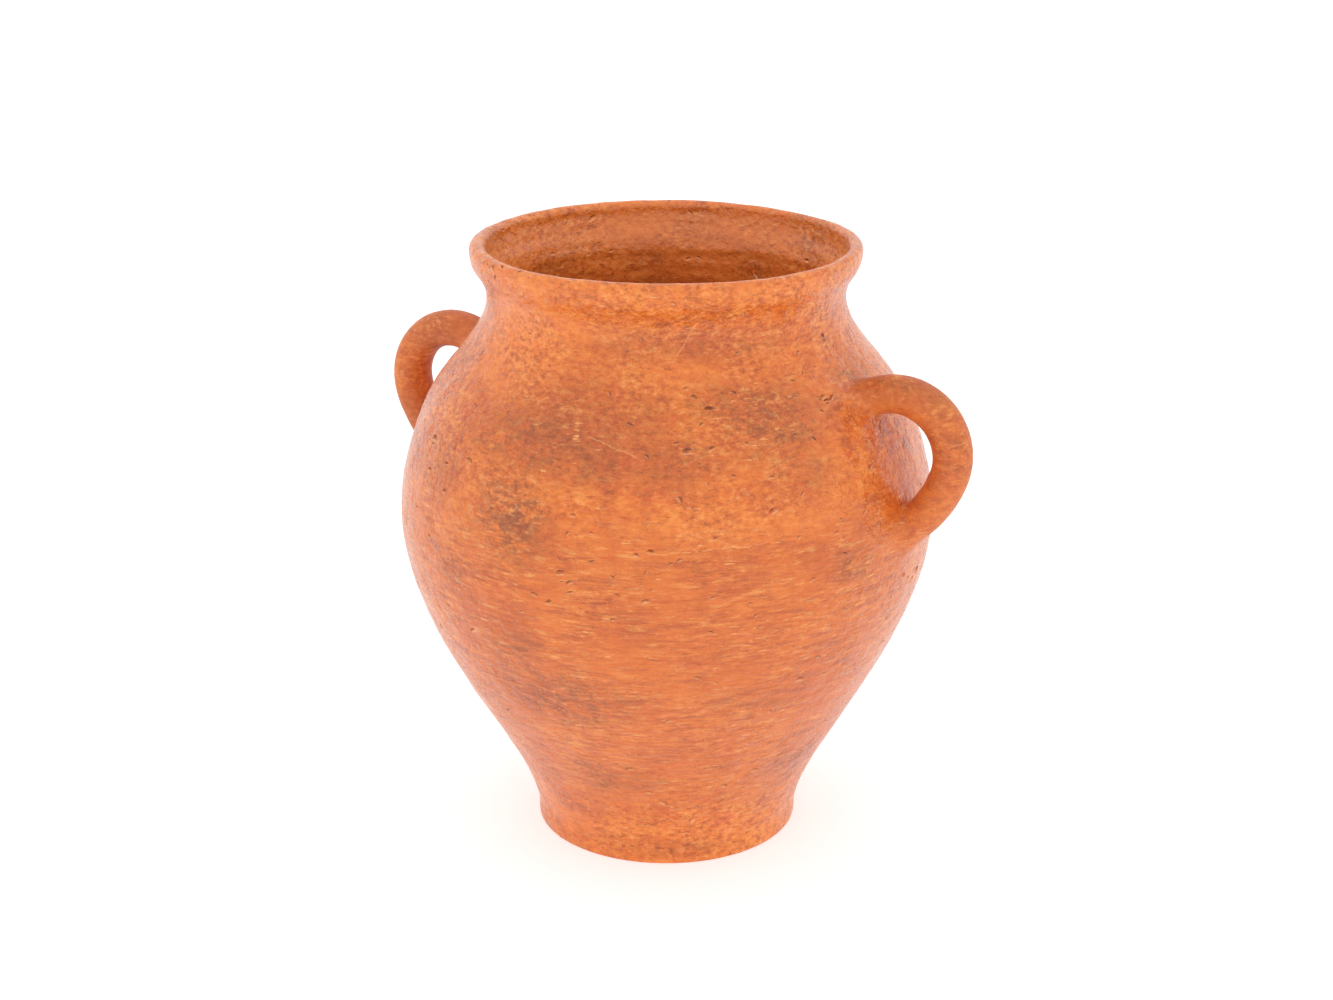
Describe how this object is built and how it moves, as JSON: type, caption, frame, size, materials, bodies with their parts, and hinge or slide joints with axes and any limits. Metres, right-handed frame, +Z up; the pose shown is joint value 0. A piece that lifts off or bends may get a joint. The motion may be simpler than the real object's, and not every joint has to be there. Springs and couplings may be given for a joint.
{
  "type": "amphora",
  "caption": "Wide-mouthed terracotta storage jar with a full belly, a low turned foot, a rolled lip and an ear handle on each shoulder.",
  "frame": {"origin": "centre of the resting face, on the jar's axis", "axes": "+Z up out of the mouth, +X through the right handle and -X through the left handle"},
  "size_m": [0.4054, 0.332, 0.38],
  "materials": {
    "body": "satin",
    "lip": "satin",
    "foot": "satin",
    "inside": "satin",
    "handle": "satin",
    "handle_root": "satin"
  },
  "bodies": {
    "root": {"lower_body": "body", "upper_body": "body", "neck_collar": "body", "lip_coil": "lip", "foot_ring": "foot", "floor_disc": "inside", "floor_coil": "inside", "belly_seam_coil": "inside", "right_handle": "handle", "left_handle": "handle", "right_handle_upper_coil": "handle_root", "right_handle_lower_coil": "handle_root", "left_handle_upper_coil": "handle_root", "left_handle_lower_coil": "handle_root"}
  },
  "joints": []
}
